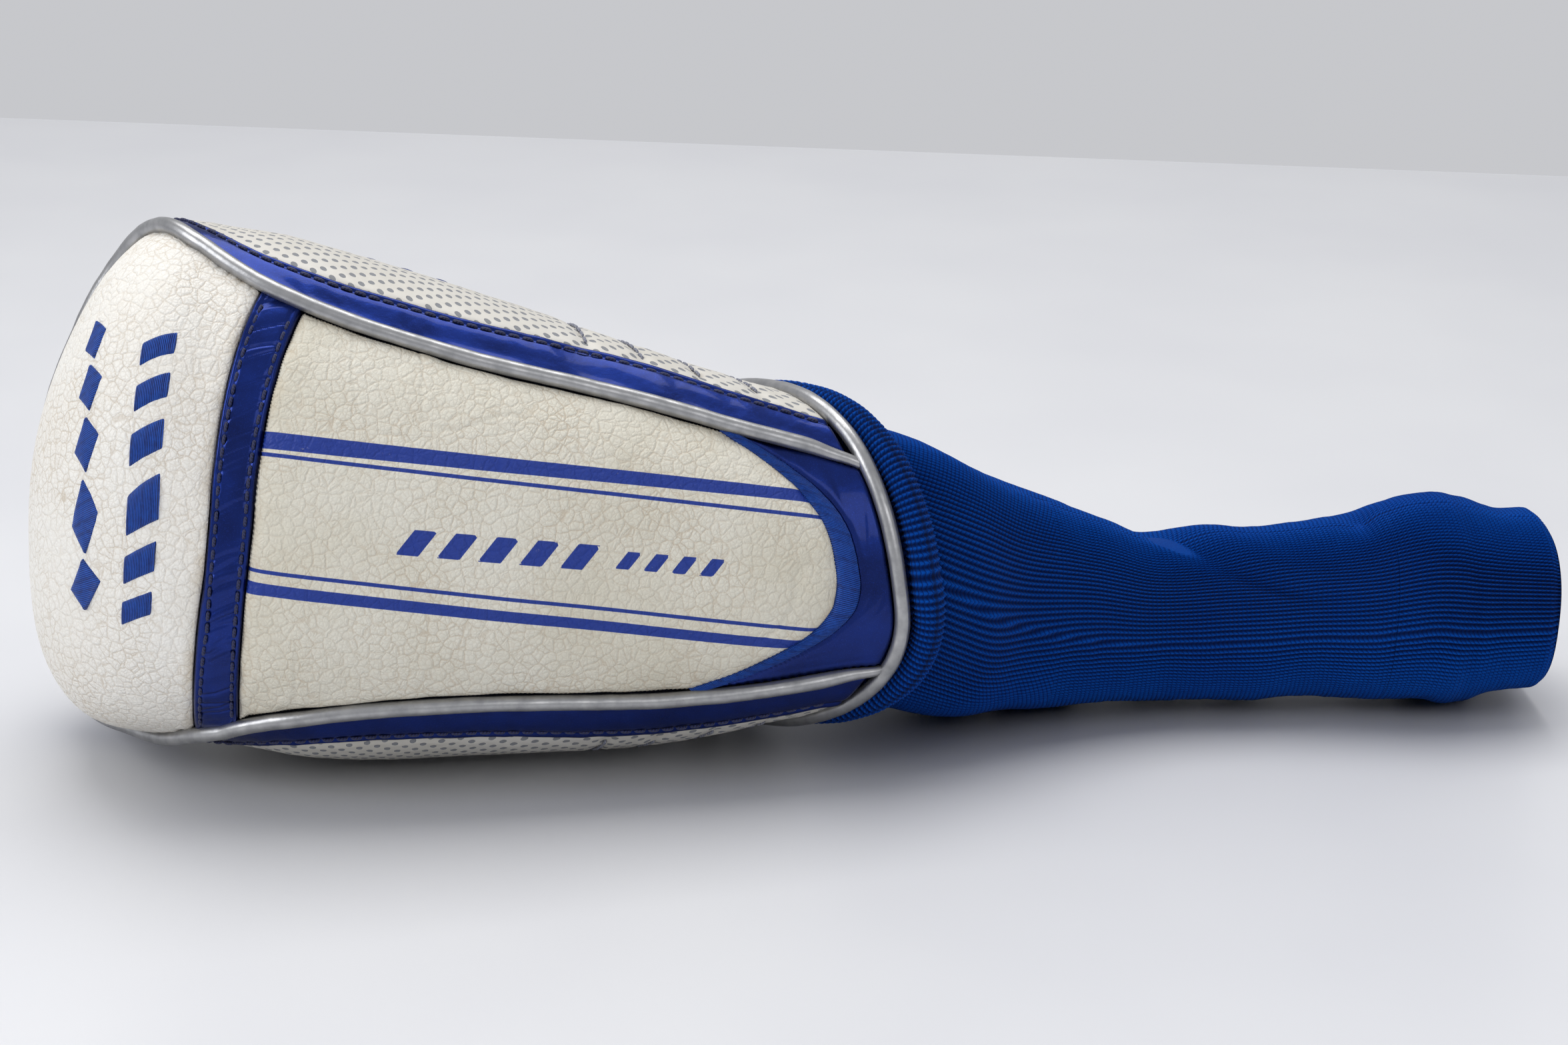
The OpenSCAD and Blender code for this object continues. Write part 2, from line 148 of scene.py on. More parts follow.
def place(a, v, d=0.0):
    """Points of the cover at places (a, v), d under its outer surface, in millimetres."""
    a, v, d = np.broadcast_arrays(np.asarray(a, float), np.asarray(v, float), np.asarray(d, float))
    phi = np.radians(90 * np.minimum(1, a / DOME_ARC))
    angle = np.radians(v)
    along = np.maximum(np.cos(phi), 0) ** (2 / DOME_POWER)
    round_off = np.maximum(np.sin(phi), 0) ** (2 / DOME_POWER)
    s = np.where(a < DOME_ARC, DOME_LENGTH * (1 - along), a - TO_ARC)
    x = np.where(a < DOME_ARC, DOME_LENGTH - (DOME_LENGTH - d) * along, s)
    across = (curve(HALF_WIDTH, s) - d) * round_off * signed_power(np.sin(angle), 2 / SECTION_POWER)
    depth = np.where(np.cos(angle) > 0, curve(FRONT_DEPTH, s), curve(BACK_DEPTH, s))
    deep = (depth - d) * round_off * signed_power(np.cos(angle), 2 / SECTION_POWER)
    roll = np.radians(curve(ROLL_AT, s))
    y = across * np.sin(roll) - deep * np.cos(roll)
    z = across * np.cos(roll) + deep * np.sin(roll)
    floor = d + np.where(s < NECK_START, REST, 0)
    low = np.maximum(0, -z) / LOWER_REACH
    x = x - curve(SLANT_AT, s) * y - curve(DRAG_AT, s) * low**2
    return np.stack([x - MIDDLE_X, curve(CENTRE_DEPTH, s) + y - MIDDLE_Y,
                     np.maximum(curve(CENTRE_HEIGHT, s) + z, floor)], -1)


def unit(v):
    return v / np.maximum(np.linalg.norm(v, axis=-1, keepdims=True), 1e-12)


def outward(a, v):
    return unit(place(a, v, -1) - place(a, v, 1))


def half_edge(side, toe, b):
    a = mix(MOUTH, CORNER, np.clip(b, None, 1))
    on_side = np.stack([a, curve(side, a)], -1)
    return np.where((b < 1)[..., None], on_side, curve(toe, np.maximum(b - 1, 0)))


def edge(side, toe, b):
    """The U from the mouth's upper side (b = 0), round the toe (2), to its lower side (4)."""
    b = np.asarray(b, float)
    p = half_edge(side, toe, np.where(b <= 2, b, 4 - b))
    return np.stack([p[..., 0], np.where(b <= 2, p[..., 1], 360 - p[..., 1])], -1)


def rim(b, f):
    """Place in the gusset band: f is 0 on the crown's edge and 1 on the band's outer edge."""
    f = np.asarray(f, float)[..., None]
    return mix(edge(CROWN_SIDE, CROWN_TOE, b), edge(GUSSET_SIDE, GUSSET_TOE, b), f)


def side_angle(a, f):
    return mix(curve(CROWN_SIDE, a), curve(GUSSET_SIDE, a), f)


def band_line(w):
    """The cross band's middle line, for w from -1 at the crown's lower side to 1 at its upper side."""
    return 75.8 + 8.4 * w - 1.4 * (1 - w * w)


def panel_end(w):
    """The rounded end of the main crown panel, with w as in band_line."""
    return 185.4 - np.where(w < 0, 25.0, 15.5) * np.abs(w) ** 2.5


# ---------------------------------------------------------------- noise


def hashed(cells, seed):
    """Numbers from 0 to 1 for whole-number cells, always the same for the same seed."""
    x = cells.astype(np.int64)
    h = (x[..., 0] * 73856093) ^ (x[..., 1] * 19349663) ^ (x[..., 2] * 83492791) ^ (seed * 2654435761)
    h = (h ^ (h >> 13)) * 1274126177
    return ((h ^ (h >> 16)) & 0xFFFFFF) / float(0xFFFFFF)


def value_noise(points, size, seed):
    """Smooth noise from -1 to 1 with features of the given size."""
    p = np.asarray(points, float) / size
    cell = np.floor(p).astype(np.int64)
    t = p - cell
    t = t * t * (3 - 2 * t)
    total = 0.0
    for k in range(8):
        corner = np.array([k & 1, k >> 1 & 1, k >> 2 & 1])
        weight = np.prod(np.where(corner, t, 1 - t), -1)
        total = total + weight * hashed(cell + corner, seed)
    return total * 2 - 1


STRAY = 0.85  # how far a seed point may stray in its cell


def worley(points, size, seed):
    """Distances to the nearest and second nearest seed point, and the nearest one's own number."""
    p = np.asarray(points, float) / size
    cell = np.floor(p).astype(np.int64)
    first = np.full(p.shape[:-1], 9.0)
    second = first.copy()
    owner = np.zeros(p.shape[:-1])
    for dx in (-1, 0, 1):
        for dy in (-1, 0, 1):
            for dz in (-1, 0, 1):
                c = cell + np.array([dx, dy, dz])
                seeds = np.stack([hashed(c, seed + k) for k in range(3)], -1) * STRAY + (1 - STRAY) / 2
                dist = np.linalg.norm(c + seeds - p, axis=-1)
                nearer = dist < first
                second = np.where(nearer, first, np.minimum(second, dist))
                owner = np.where(nearer, hashed(c, seed + 7), owner)
                first = np.where(nearer, dist, first)
    return first, second, owner


# ---------------------------------------------------------------- meshes


def solid(name, grids, material, attributes=None, ring=False):
    """One mesh from grids of points. A row of a grid is a closed loop, and in a ring the rows close too."""
    grids = [grids] if isinstance(grids, np.ndarray) else grids
    attributes = attributes or {}
    loops, starts, points = [], [], []
    first, corner = 0, 0
    for grid in grids:
        rows, columns = grid.shape[:2]
        i, j = np.meshgrid(np.arange(rows if ring else rows - 1), np.arange(columns), indexing="ij")
        a, b = i * columns, (i + 1) % rows * columns
        k = (j + 1) % columns
        four = np.stack([a + j, a + k, b + k, b + j], -1).reshape(-1, 4)
        flat = grid.reshape(-1, 3)
        p = flat[four] - flat.mean(0)
        turned = np.sum(np.cross(p[:, 1] - p[:, 0], p[:, 3] - p[:, 0]) * p.mean(1)) < 0
        faces = [four[:, ::-1] if turned else four]
        if not ring:
            end = np.arange(columns)
            faces += [end[None] if turned else end[None, ::-1],
                      (end[None, ::-1] if turned else end[None]) + (rows - 1) * columns]
        for f in faces:
            loops.append((f + first).ravel())
            starts.append(corner + np.arange(len(f)) * f.shape[1])
            corner += f.size
        points.append(flat)
        first += len(flat)
    mesh = bpy.data.meshes.new(name)
    points, loops, starts = np.concatenate(points), np.concatenate(loops), np.concatenate(starts)
    mesh.vertices.add(len(points))
    mesh.vertices.foreach_set("co", (points * MM).astype(np.float32).ravel())
    mesh.loops.add(len(loops))
    mesh.loops.foreach_set("vertex_index", loops.astype(np.int32))
    mesh.polygons.add(len(starts))
    mesh.polygons.foreach_set("loop_start", starts.astype(np.int32))
    mesh.update(calc_edges=True)
    mesh.polygons.foreach_set("use_smooth", np.full(len(starts), True))
    for key, values in attributes.items():
        values = [values] if isinstance(values, np.ndarray) else values
        layer = mesh.attributes.new(key, "FLOAT", "POINT")
        layer.data.foreach_set("value", np.concatenate([v.ravel() for v in values]).astype(np.float32))
    mesh.materials.append(material)
    piece = bpy.data.objects.new(name, mesh)
    bpy.context.scene.collection.objects.link(piece)
    return piece


def under(outer, inner):
    """Loops that go over the outer grid's rows and back under through a few points of the inner grid."""
    few = np.linspace(inner.shape[1] - 1, 0, 14).astype(int)
    return np.concatenate([outer, inner[:, few]], 1)


def tube(path, facing, radius, sides, ring=False):
    """Grid of points of a round tube; radius may be a grid of lengths along and round it."""
    step = np.roll(path, -1, 0) - np.roll(path, 1, 0) if ring else np.gradient(path, axis=0)
    tangent = unit(step)
    out = unit(facing - tangent * np.sum(facing * tangent, -1, keepdims=True))
    side = np.cross(tangent, out)
    turn = 2 * np.pi * np.arange(sides) / sides
    spoke = np.cos(turn)[:, None] * out[:, None] + np.sin(turn)[:, None] * side[:, None]
    return path[:, None] + (np.ones((len(path), sides)) * radius)[..., None] * spoke


def lengths(points, axis=0):
    """Length run along a path, or along one axis of a grid of points, from 0 at its start."""
    run = np.cumsum(np.linalg.norm(np.diff(points, axis=axis), axis=-1), axis)
    return np.concatenate([np.zeros_like(np.take(run, [0], axis)), run], axis)


def edge_distance(points):
    """Distance of each point of a grid from the grid's own edge."""
    rim_points = np.concatenate([points[0], points[-1], points[:, 0], points[:, -1]])[::2]
    flat = points.reshape(-1, 3)
    nearest = [np.sqrt(((chunk[:, None] - rim_points) ** 2).sum(-1).min(1))
               for chunk in np.array_split(flat, max(1, len(flat) // 2000))]
    return np.concatenate(nearest).reshape(points.shape[:2])


# ---------------------------------------------------------------- materials


def srgb(r, g, b):
    """Linear colour from 0 to 255 display values."""
    def linear(c):
        c /= 255
        return c / 12.92 if c <= 0.04045 else ((c + 0.055) / 1.055) ** 2.4
    return (linear(r), linear(g), linear(b), 1)


class Shader:
    """A material with a principled shader, and short names for the nodes that feed it."""

    def __init__(self, name, **sockets):
        self.material = bpy.data.materials.new(name)
        self.material.use_nodes = True
        self.nodes = self.material.node_tree.nodes
        self.links = self.material.node_tree.links
        self.shader = self.nodes["Principled BSDF"]
        for key, value in sockets.items():
            self.shader.inputs[key.replace("_", " ")].default_value = value

    def node(self, kind, inputs=None, **settings):
        n = self.nodes.new(kind)
        for key, value in settings.items():
            setattr(n, key, value)
        for key, value in (inputs or {}).items():
            if isinstance(value, bpy.types.NodeSocket):
                self.links.new(value, n.inputs[key])
            else:
                n.inputs[key].default_value = value
        return n

    def attribute(self, name):
        return self.node("ShaderNodeAttribute", attribute_name=name).outputs["Fac"]

    def position(self):
        return self.node("ShaderNodeTexCoord").outputs["Object"]

    def math(self, operation, a, b=0.0):
        return self.node("ShaderNodeMath", {0: a, 1: b}, operation=operation).outputs[0]

    def noise(self, size, detail=3.0, roughness=0.55):
        """Noise from 0 to 1 with features of the given size in millimetres."""
        n = self.node("ShaderNodeTexNoise", {"Scale": 1000 / size, "Detail": detail, "Roughness": roughness,
                                             "Vector": self.position()})
        return n.outputs["Fac"]

    def grey(self, value, low, high, at_low=0.0, at_high=1.0):
        """A value mapped from low and high to two others, and held there beyond them."""
        n = self.node("ShaderNodeMapRange", {"Value": value, "From Min": low, "From Max": high,
                                             "To Min": at_low, "To Max": at_high})
        return n.outputs["Result"]

    def blend(self, factor, a, b):
        n = self.node("ShaderNodeMix", data_type="RGBA")
        for socket, value in ((n.inputs["Factor"], factor), (n.inputs[6], a), (n.inputs[7], b)):
            if isinstance(value, bpy.types.NodeSocket):
                self.links.new(value, socket)
            else:
                socket.default_value = value
        return n.outputs[2]

    def bump(self, height, strength, distance):
        inputs = {"Height": height, "Strength": strength, "Distance": distance * MM}
        return self.node("ShaderNodeBump", inputs).outputs["Normal"]

    def finish(self, colour=None, roughness=None, normal=None):
        for socket, value in (("Base Color", colour), ("Roughness", roughness), ("Normal", normal)):
            if value is not None:
                self.links.new(value, self.shader.inputs[socket])
        return self.material


WHITE = srgb(227, 225, 219)
CREASE = srgb(178, 162, 140)
BLUE_PRINT = srgb(0, 44, 134)
PATENT_DEEP = srgb(10, 30, 90)
PATENT_LIGHT = srgb(30, 60, 160)
KNIT_LIGHT = srgb(4, 78, 172)
# painted shade for the knit's rib valleys
KNIT_VALLEY_SHADE = srgb(1, 12, 52)


STRIPES = [(61.6, -0.119, 3.1, -0.010), (58.0, -0.130, 0.85, 0), (33.05, -0.131, 0.85, 0),
           (29.25, -0.131, 2.4, -0.004)]


def printed_stripes(s):
    """1 inside the printed stripes, each with a height at x = -60, a fall, a thickness and a taper."""
    ink = None
    along = s.math("ADD", s.attribute("print_x"), 60)
    for height, fall, thick, taper in STRIPES:
        line = s.math("ADD", s.math("MULTIPLY", along, fall), height)
        half = s.math("ADD", s.math("MULTIPLY", along, taper / 2), thick / 2)
        off = s.math("ABSOLUTE", s.math("SUBTRACT", s.attribute("print_t"), line))
        inside = s.math("SUBTRACT", half, off)
        edge = s.grey(inside, -0.04, 0.04)
        ink = edge if ink is None else s.math("MAXIMUM", ink, edge)
    return ink


def cells(s, size, vector):
    """Distance to the nearest wall of a cellular pattern, in cells."""
    return s.node("ShaderNodeTexVoronoi", {"Vector": vector, "Scale": 1000 / size},
                  feature="DISTANCE_TO_EDGE").outputs["Distance"]


def pebbled_leather(name, clean, yellowed, printed=False):
    """Pebbled white leather: embossed cells, brown creases between them, and yellowed patches."""
    s = Shader(name, Roughness=0.5, Specular_IOR_Level=0.28)
    sway = s.node("ShaderNodeTexNoise", {"Vector": s.position(), "Scale": 1000 / 2.5, "Detail": 3.0})
    shift = s.node("ShaderNodeVectorMath", {0: sway.outputs["Color"], 1: (0.0011, 0.0011, 0.0011)},
                   operation="MULTIPLY").outputs[0]
    warped = s.node("ShaderNodeVectorMath", {0: s.position(), 1: shift}, operation="ADD").outputs[0]
    large = cells(s, 2.5, warped)
    small = cells(s, 1.0, warped)
    patch = s.noise(19, 3, 0.6)
    base = s.blend(s.grey(s.noise(26, 3, 0.6), 0.35, 0.7, 0.0, 0.8), clean, yellowed)
    soiled = s.grey(patch, 0.36, 0.68, 0.2, 0.62)
    base = s.blend(s.math("MULTIPLY", s.grey(large, 0.075, 0.0), soiled), base, CREASE)
    soiled = s.grey(patch, 0.3, 0.7, 0.1, 0.42)
    base = s.blend(s.math("MULTIPLY", s.grey(small, 0.10, 0.0), soiled), base, CREASE)
    pores = s.math("MULTIPLY", s.noise(0.6, 3), 0.3)
    fine = s.math("ADD", s.math("MULTIPLY", s.grey(small, 0.0, 0.25), 0.45), pores)
    seam = s.attribute("seam")
    rubbed = s.math("MULTIPLY", s.grey(seam, 2.6, 0.2, 0.0, 0.5), s.grey(s.noise(7, 3, 0.6), 0.4, 0.65))
    base = s.blend(rubbed, base, srgb(182, 166, 138))
    if printed:
        ink = printed_stripes(s)
        ink = s.math("MAXIMUM", ink, s.grey(s.attribute("ink"), -0.05, 0.05))
        worn_ink = s.math("MULTIPLY", ink, s.grey(s.noise(1.6, 4, 0.7), 0.2, 0.32, 0.7, 0.98))
        base = s.blend(worn_ink, base, BLUE_PRINT)
    rough = s.grey(large, 0.0, 0.12, 0.64, 0.47)
    height = s.math("ADD", fine, s.grey(large, 0.0, 0.17))
    return s.finish(base, rough, s.bump(height, 0.55, 0.25))


def perforated_leather(name):
    """Smooth white leather with staggered round holes, one in each whole step of two attributes."""
    s = Shader(name, Roughness=0.5, Specular_IOR_Level=0.4)
    across = [s.math("SUBTRACT", s.math("FRACT", s.attribute(name)), 0.5) for name in ("dot_p", "dot_q")]
    squares = [s.math("MULTIPLY", c, c) for c in across]
    away = s.math("SQRT", s.math("ADD", squares[0], squares[1]))
    hole = s.grey(away, 0.30, 0.22)
    grain = s.attribute("grain")
    base = s.blend(s.grey(s.noise(22, 3), 0.35, 0.7, 0, 0.6), srgb(204, 201, 194), srgb(192, 188, 177))
    # darker brown where the grain attribute is low: in small spots and along the sunken gathers
    base = s.blend(s.math("MULTIPLY", s.grey(grain, 0.14, 0.0), 0.35), base, CREASE)
    base = s.blend(s.grey(hole, 0.45, 0.6), base, srgb(128, 130, 134))
    height = s.math("SUBTRACT", s.math("MULTIPLY", s.noise(0.8, 4, 0.6), 0.3), s.grey(hole, 0.4, 0.7))
    return s.finish(base, s.grey(hole, 0.4, 0.6, 0.48, 0.75), s.bump(height, 0.4, 0.25))


def patent_leather(name):
    """Metallic blue patent leather, with fine creases under a clear coat."""
    s = Shader(name, Roughness=0.3, Metallic=0.92, Specular_IOR_Level=0.4, Coat_Weight=0.22,
               Coat_Roughness=0.08)
    flake = s.noise(0.22, 2, 0.6)
    cloud = s.noise(14, 3, 0.55)
    base = s.blend(s.grey(cloud, 0.35, 0.7), PATENT_DEEP, srgb(14, 40, 114))
    base = s.blend(s.grey(flake, 0.56, 0.74, 0, 0.5), base, PATENT_LIGHT)
    scuff = s.math("MULTIPLY", s.grey(s.noise(2.2, 5, 0.75), 0.66, 0.78), 0.3)
    base = s.blend(scuff, base, srgb(60, 84, 170))
    height = s.math("ADD", s.noise(3.2, 3, 0.5), s.math("MULTIPLY", s.noise(0.5, 3), 0.08))
    return s.finish(base, s.grey(cloud, 0.3, 0.7, 0.24, 0.4), s.bump(height, 0.22, 0.5))


def silver_vinyl(name):
    s = Shader(name, Roughness=0.34, Metallic=0.85, Specular_IOR_Level=0.4)
    streak = s.noise(3, 3, 0.5)
    base = s.blend(s.grey(streak, 0.3, 0.75), srgb(170, 170, 171), srgb(138, 139, 141))
    scuff = s.math("MULTIPLY", s.grey(s.noise(1.3, 4, 0.7), 0.66, 0.8), 0.5)
    base = s.blend(scuff, base, srgb(120, 118, 112))
    return s.finish(base, s.grey(streak, 0.3, 0.7, 0.28, 0.42), s.bump(s.noise(1.1, 3), 0.12, 0.3))


def thread_material(name, colour, light):
    """Twisted sewing thread: the twist runs along each stitch, with a painted highlight on its crests and
    painted shade in its grooves.
    """
    s = Shader(name, Roughness=0.62, Sheen_Weight=0.15, Sheen_Roughness=0.4)
    turns = s.math("MULTIPLY", s.attribute("around"), 2.0)
    phase = s.math("ADD", s.math("MULTIPLY", s.attribute("along"), 9.0), turns)
    twist = s.math("SINE", phase)
    # lighter on the twist's crests and darker in its grooves: painted highlight and painted shade
    base = s.blend(s.grey(twist, -1, 1), colour, light)
    return s.finish(base, None, s.bump(twist, 0.5, 0.08))


def satin_stitch(name):
    """Embroidery: threads lie side by side across the shape, one for each whole step of an attribute. Each
    thread is painted bright on its crest and near black where it meets the next: painted highlight and
    painted shade.
    """
    s = Shader(name, Roughness=0.42, Sheen_Weight=0.08, Sheen_Roughness=0.35, Specular_IOR_Level=0.4)
    row = s.attribute("threads")
    ridge = s.math("ABSOLUTE", s.math("SINE", s.math("MULTIPLY", row, math.pi)))
    # painted shade where the threads meet, painted highlight on their crests
    base = s.blend(s.grey(ridge, 0.1, 0.95), srgb(1, 12, 50), srgb(8, 66, 160))
    uneven = [s.math("SINE", s.math("MULTIPLY", row, rate)) for rate in (1.27, 0.83)]
    uneven = s.grey(s.math("ADD", uneven[0], uneven[1]), 0.3, 1.6, 0, 0.55)
    base = s.blend(uneven, base, srgb(2, 26, 88))
    base = s.blend(s.grey(s.noise(1.1, 3, 0.7), 0.4, 0.8, 0, 0.5), base, srgb(22, 88, 186))
    return s.finish(base, None, s.bump(ridge, 0.7, 0.22))


def knit_material(name):
    """Ribbed knit: the columns are in the mesh, and their loops come from the mesh's attributes. Painted
    shade darkens the gaps between loops and the rib valleys.
    """
    s = Shader(name, Roughness=0.85, Sheen_Weight=0.02, Sheen_Roughness=0.5, Specular_IOR_Level=0.05)
    arm = s.attribute("arm")
    course = s.attribute("course")
    depth = s.attribute("valley")
    slope = s.math("ADD", course, s.math("MULTIPLY", arm, 1.1))
    loop = s.math("ABSOLUTE", s.math("SINE", s.math("MULTIPLY", slope, math.pi)))
    # the gaps between the knit's loops are darkened: painted shade
    loop_gap_shade = s.math("MULTIPLY", s.grey(loop, 0.5, 0.0), 0.8)
    base = s.blend(s.grey(s.noise(0.35, 4, 0.7), 0.3, 0.75), KNIT_LIGHT, srgb(2, 56, 138))
    base = s.blend(s.grey(s.noise(30, 2), 0.35, 0.7, 0, 0.3), base, srgb(4, 40, 118))
    base = s.blend(loop_gap_shade, base, srgb(2, 22, 82))
    # the rib valleys are darkened by their depth: painted shade
    base = s.blend(s.grey(depth, 0.35, 1.0, 0.0, 0.92), base, KNIT_VALLEY_SHADE)
    height = s.math("ADD", loop, s.math("MULTIPLY", s.noise(0.25, 4, 0.7), 0.35))
    return s.finish(base, None, s.bump(height, 0.75, 0.35))


def plain_soft(name, colour, other, size):
    """Hidden linings and paddings: a two-tone fibrous surface."""
    s = Shader(name, Roughness=0.9, Sheen_Weight=0.3)
    n = s.noise(size, 4, 0.7)
    return s.finish(s.blend(s.grey(n, 0.3, 0.7), colour, other), None, s.bump(n, 0.6, 0.4))


leather_toe = pebbled_leather("white_leather_toe", WHITE, srgb(222, 218, 209))
# the main panel's leather is given darker colours than the toe's white leather: painted shade, with a warmer
# tone of its own
leather_main = pebbled_leather("white_leather_main", srgb(213, 210, 198), srgb(200, 195, 178), printed=True)
perforated = perforated_leather("perforated_leather")
patent = patent_leather("patent_blue")
silver = silver_vinyl("silver_piping")
# each thread's second colour is the painted highlight on its twist
navy_thread = thread_material("navy_thread", srgb(8, 12, 40), srgb(34, 42, 92))
grey_thread = thread_material("grey_thread", srgb(84, 88, 108), srgb(150, 152, 162))
satin = satin_stitch("satin_embroidery")
knit = knit_material("blue_knit")
fleece = plain_soft("navy_fleece", srgb(22, 30, 62), srgb(46, 56, 96), 1.2)
foam_grey = plain_soft("grey_foam", srgb(120, 120, 122), srgb(160, 160, 160), 0.8)
elastic = plain_soft("covered_elastic", srgb(14, 40, 96), srgb(24, 62, 140), 0.6)
filler = plain_soft("piping_filler", srgb(226, 226, 222), srgb(240, 240, 238), 1.5)

# ---------------------------------------------------------------- camera and light

CAMERA_AIM = Vector((-4.81, -0.96, 48.88)) * MM
CAMERA_DISTANCE = 599.45 * MM
CAMERA_TURN = math.radians(-3.54)
CAMERA_RISE = math.radians(21.53)
CAMERA_ROLL = math.radians(0.84)
camera_data = bpy.data.cameras.new("camera")
camera_data.sensor_width = 36
camera_data.lens = 60
camera = bpy.data.objects.new("camera", camera_data)
bpy.context.scene.collection.objects.link(camera)
ahead = Vector((-math.sin(CAMERA_TURN) * math.cos(CAMERA_RISE), math.cos(CAMERA_TURN) * math.cos(CAMERA_RISE),
                -math.sin(CAMERA_RISE)))
camera.location = CAMERA_AIM - CAMERA_DISTANCE * ahead
camera.rotation_euler = (ahead.to_track_quat("-Z", "Y").to_matrix()
                         @ Matrix.Rotation(CAMERA_ROLL, 3, "Z")).to_euler()
bpy.context.scene.camera = camera
bpy.context.scene.view_settings.view_transform = "Standard"


def area_light(name, location, aim, size, power, colour=(1, 1, 1)):
    data = bpy.data.lights.new(name, "AREA")
    data.shape = "RECTANGLE"
    data.size, data.size_y = size
    data.energy = power
    data.color = colour
    light = bpy.data.objects.new(name, data)
    light.location = location
    light.rotation_euler = (Vector(aim) - Vector(location)).to_track_quat("-Z", "Y").to_euler()
    bpy.context.scene.collection.objects.link(light)


area_light("softbox_above", (-0.1, 0.45, 1.3), (0, 0, 0.05), (1.2, 0.8), 12, (1, 0.99, 0.97))
area_light("softbox_left", (-1.2, -0.5, 0.8), (0, 0, 0.06), (0.7, 0.9), 9, (0.97, 0.98, 1))
area_light("softbox_front", (0.6, -1.3, 0.9), (0, 0, 0.06), (1.0, 0.7), 3.2)

world = bpy.data.worlds.new("studio")
bpy.context.scene.world = world
world.use_nodes = True
world.node_tree.nodes["Background"].inputs["Color"].default_value = (0.95, 0.96, 1, 1)
world.node_tree.nodes["Background"].inputs["Strength"].default_value = 0.6

FLOOR_REACH = 3.0
FLOOR_BACK = 0.578
FLOOR_TURN = math.radians(9.1)
table = Shader("table", Roughness=0.38, Specular_IOR_Level=0.3)
table.finish(table.blend(table.grey(table.noise(90, 2, 0.5), 0.3, 0.7),
                         srgb(236, 237, 240), srgb(231, 232, 236)))
skew = FLOOR_REACH * math.tan(FLOOR_TURN)
corners = np.array([[-FLOOR_REACH, -FLOOR_REACH], [FLOOR_REACH, -FLOOR_REACH],
                    [FLOOR_REACH, FLOOR_BACK - skew], [-FLOOR_REACH, FLOOR_BACK + skew]]) / MM
floor_top = np.column_stack([corners, np.zeros(4)])
floor = solid("floor", np.stack([floor_top, floor_top - [0, 0, 20]]), table.material)

# ---------------------------------------------------------------- helpers for the pieces

FINE = 1.0


def count(n):
    return max(4, int(n * FINE))


def pebbles(points, seed):
    """Height of the leather's pebbles in millimetres."""
    warp = np.stack([value_noise(points, 3.2, seed + 20 + k) for k in range(3)], -1)
    first, second, owner = worley(points + 0.5 * warp, 2.2, seed)
    cushion = np.sqrt(np.clip(second - first, 0, 0.42) / 0.42)
    return 0.05 * (cushion - 0.7) + 0.06 * (owner - 0.5)


def rolled(distance, radius, depth):
    """How deep an edge turns down at this distance from a seam."""
    t = np.clip(distance / radius, 0, 1)
    return depth * (1 - np.sqrt(1 - (1 - t) ** 2))


ON_TABLE = 0.02  # lowest place of what may touch the table


def keep_up(points, low=REST * 0.35):
    """Lift points in place so that none lies below a height."""
    points[..., 2] = np.maximum(points[..., 2], low)
    return points


def widen(values, rest, loops):
    """Values of an outer skin laid over whole loops, whose inner side takes the value at rest."""
    full = np.full(loops.shape[:2], float(rest))
    full[:, :values.shape[1]] = values
    return full


def done(piece, body, slot, *nodes):
    if body:
        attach(piece, body)
    if nodes:
        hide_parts(*nodes)
    return piece


SNUG = 0.11  # as SEAM, for the padded pieces, which press against the piping


def crown_places(start, end, rows, columns):
    """Places on the crown between two lines: f runs along it, and w from its lower side to its upper."""
    f = np.linspace(0, 1, rows)[:, None] * np.ones(columns)
    w = np.linspace(-1, 1, columns)[None, :] * np.ones((rows, 1))
    a = mix(start(w), end(w), f)
    return a, w * side_angle(a, -SNUG), f, w


NO_INK = -9.0


def print_height(points):
    """Height of points up the crown's face."""
    lean = math.radians(SHELL_ROLL)
    return points[..., 1] * math.sin(lean) + points[..., 2] * math.cos(lean)


def print_mark(points):
    """How far inside the row of printed bars each point lies, in millimetres, below 0 outside them."""
    x = points[..., 0]
    t = print_height(points)
    ink = np.full(x.shape, NO_INK)
    bars = [(-85 + 8.6 * i, 5.8, 5.6) for i in range(5)] + [(-40.4 + 6.0 * i, 4.0, 3.9) for i in range(4)]
    for at, wide, tall in bars:
        middle = 43.6 - 0.105 * (x + 60)
        lean = (t - middle) * 0.75
        bar = np.minimum(wide / 2 - 0.5 - np.abs(x - at - lean), tall / 2 - np.abs(t - middle))
        ink = np.maximum(ink, bar)
    return ink


def pad(name, a, v, puff, material, seed, printed=False):
    """A padded leather panel: crowned, turned down along its seams, puckered near them, and pebbled."""
    base = place(a, v, -puff)
    out = outward(a, v)
    distance = edge_distance(base)
    height = pebbles(base, seed) * np.clip(distance / 2.2, 0.15, 1)
    pucker = value_noise(base, 4.6, seed + 31) * 0.42 * np.exp(-distance / 4.5)
    sway = value_noise(base, 23, seed + 40) * 0.45 * np.clip(distance / 12, 0, 1)
    crease = np.abs(value_noise(base * [1, 1, 0.55], 13, seed + 50))
    crease = -0.22 * np.exp(-(crease / 0.035) ** 2) * smooth(value_noise(base, 30, seed + 55), 0.0, 0.5)
    lift = height + pucker + sway + crease - rolled(distance, 3.0, 1.05)
    outer = keep_up(base + out * lift[..., None])
    inner = place(a, v, -puff * 0.5 + LEATHER + 0.5)
    loops = under(outer, inner)
    attributes = {"seam": widen(distance, 0, loops)}
    if printed:
        attributes["ink"] = widen(print_mark(base), NO_INK, loops)
        attributes["print_x"] = widen(base[..., 0], 0, loops)
        attributes["print_t"] = widen(print_height(base), 0, loops)
    piece = solid(name, loops, material, attributes)
    return piece or piece


# ---------------------------------------------------------------- the white panels


